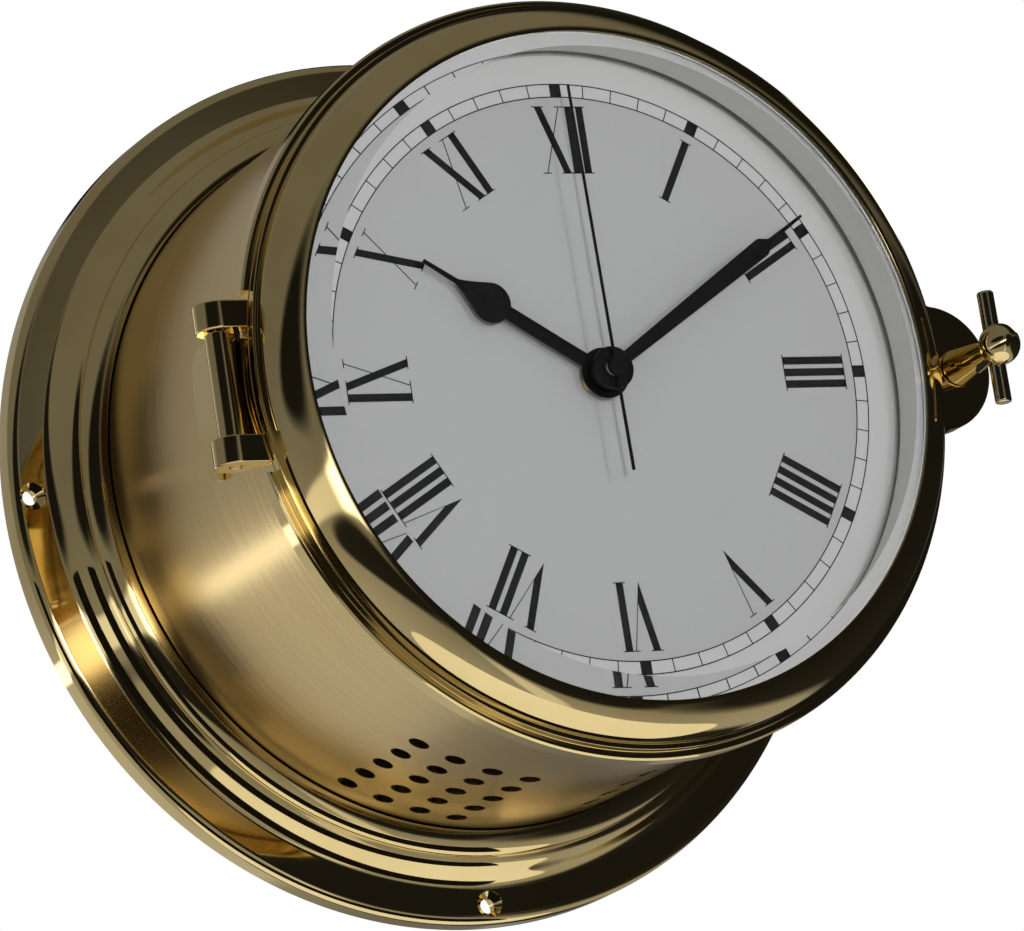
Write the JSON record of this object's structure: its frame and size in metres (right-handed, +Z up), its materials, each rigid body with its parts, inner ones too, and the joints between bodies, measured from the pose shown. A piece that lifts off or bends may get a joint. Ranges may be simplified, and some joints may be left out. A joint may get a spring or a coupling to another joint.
{
  "type": "ships clock",
  "caption": "Wall-hung ship's clock in a brass drum on a round flange, with a hinged glazed bezel and thumb screw",
  "frame": {"origin": "centre of the flange's back, in the plane that lies on the wall", "axes": "+X to three o'clock, +Y into the wall, +Z up to twelve o'clock, so the dial faces -Y"},
  "size_m": [0.18, 0.1033, 0.18],
  "materials": {
    "polished_brass": "polished and lacquered",
    "brushed_brass": "brushed round the drum",
    "plain_brass": "machined",
    "pale_brass": "satin",
    "black_plastic": "fine grain",
    "steel": "bright",
    "dark_steel": "blackened",
    "copper_wire": "enamelled copper wire, as a wound bobbin",
    "dial_paint": "satin white with black printing",
    "hand_paint": "black satin",
    "wheel_plastic": "moulded",
    "rubber": "smooth",
    "board": "solder resist",
    "cell_sleeve": "plain sleeve, no print",
    "paper": "pressed paper",
    "clear_glass": "clear, with a bevelled rim"
  },
  "bodies": {
    "case": {"mounting_flange": "polished_brass", "case_drum": "brushed_brass", "back_cover": "black_plastic", "cover_screw_1": "steel", "cover_screw_2": "steel", "cover_screw_3": "steel", "cover_screw_4": "steel", "dial_carrier": "dark_steel", "dial": "dial_paint", "dial_foot_nut_1": "plain_brass", "dial_foot_nut_2": "plain_brass", "dial_foot_nut_3": "plain_brass", "hinge_leaf": "polished_brass", "clamp_boss": "polished_brass", "movement_front_shell": "black_plastic", "movement_rear_shell": "black_plastic", "motor_stator": "steel", "motor_coil": "copper_wire", "circuit_board": "board", "quartz_crystal": "steel", "battery": "cell_sleeve", "battery_contact_positive": "steel", "battery_contact_negative": "steel", "fixing_washer": "rubber", "fixing_nut": "plain_brass", "speaker_frame": "steel", "speaker_cone": "paper", "speaker_magnet": "dark_steel", "speaker_bracket": "black_plastic"},
    "bezel": {"bezel_ring": "polished_brass", "hinge_ear_upper": "polished_brass", "hinge_ear_lower": "polished_brass", "hinge_pin": "polished_brass", "glass": "clear_glass", "glass_gasket": "rubber", "glass_retaining_ring": "pale_brass"},
    "clip": {"screw_clip": "steel"},
    "screw": {"thumb_screw": "polished_brass", "cross_bar": "polished_brass"},
    "seconds": {"seconds_wheel": "wheel_plastic", "second_hand": "hand_paint"},
    "third": {"third_wheel": "wheel_plastic"},
    "minutes": {"centre_wheel": "plain_brass", "minute_hand": "hand_paint"},
    "motion": {"minute_wheel": "wheel_plastic"},
    "hours": {"hour_wheel": "wheel_plastic", "hour_hand": "hand_paint"},
    "driver": {"driver_wheel": "wheel_plastic"},
    "rotor": {"motor_rotor": "dark_steel"},
    "setting": {"setting_knob": "black_plastic"}
  },
  "joints": [
    {"name": "bezel_hinge", "type": "hinge", "parent": "case", "child": "bezel", "pos_m": [-0.078, -0.08, 0], "axis": [0, 0, -1], "range_deg": [0, 110]},
    {"name": "screw_travel", "type": "slide", "parent": "bezel", "child": "clip", "axis": [0, -1, 0], "range_m": [0, 0.0034]},
    {"name": "screw_turn", "type": "hinge", "parent": "clip", "child": "screw", "pos_m": [0.0797, -0.09, 0], "axis": [0, -1, 0], "range_deg": [0, 1748]},
    {"name": "seconds_spin", "type": "hinge", "parent": "case", "child": "seconds", "pos_m": [0, -0.07, 0], "axis": [0, -1, 0], "continuous": true},
    {"name": "third_spin", "type": "hinge", "parent": "case", "child": "third", "pos_m": [0.00722, -0.07, 0.01251], "axis": [0, -1, 0], "continuous": true},
    {"name": "minutes_spin", "type": "hinge", "parent": "case", "child": "minutes", "pos_m": [0, -0.07, 0], "axis": [0, -1, 0], "continuous": true},
    {"name": "motion_spin", "type": "hinge", "parent": "case", "child": "motion", "pos_m": [-0.00852, -0.07, 0.00533], "axis": [0, -1, 0], "continuous": true},
    {"name": "hours_spin", "type": "hinge", "parent": "case", "child": "hours", "pos_m": [0, -0.07, 0], "axis": [0, -1, 0], "continuous": true},
    {"name": "driver_spin", "type": "hinge", "parent": "case", "child": "driver", "pos_m": [0.00923, -0.07, -0.00282], "axis": [0, -1, 0], "continuous": true},
    {"name": "rotor_spin", "type": "hinge", "parent": "case", "child": "rotor", "pos_m": [0.01597, -0.07, -0.00076], "axis": [0, -1, 0], "continuous": true},
    {"name": "setting_spin", "type": "hinge", "parent": "case", "child": "setting", "pos_m": [-0.01705, -0.07, 0.01065], "axis": [0, -1, 0], "continuous": true}
  ],
  "couplings": [
    {"joint": "screw_travel", "follows": "screw_turn", "m_per_rad": 0.00011141},
    {"joint": "third_spin", "follows": "seconds_spin", "ratio": -0.13333},
    {"joint": "minutes_spin", "follows": "seconds_spin", "ratio": 0.016667},
    {"joint": "motion_spin", "follows": "seconds_spin", "ratio": -0.0055556},
    {"joint": "hours_spin", "follows": "seconds_spin", "ratio": 0.0013889},
    {"joint": "driver_spin", "follows": "seconds_spin", "ratio": -5},
    {"joint": "rotor_spin", "follows": "seconds_spin", "ratio": 30},
    {"joint": "setting_spin", "follows": "seconds_spin", "ratio": 0.016667}
  ]
}
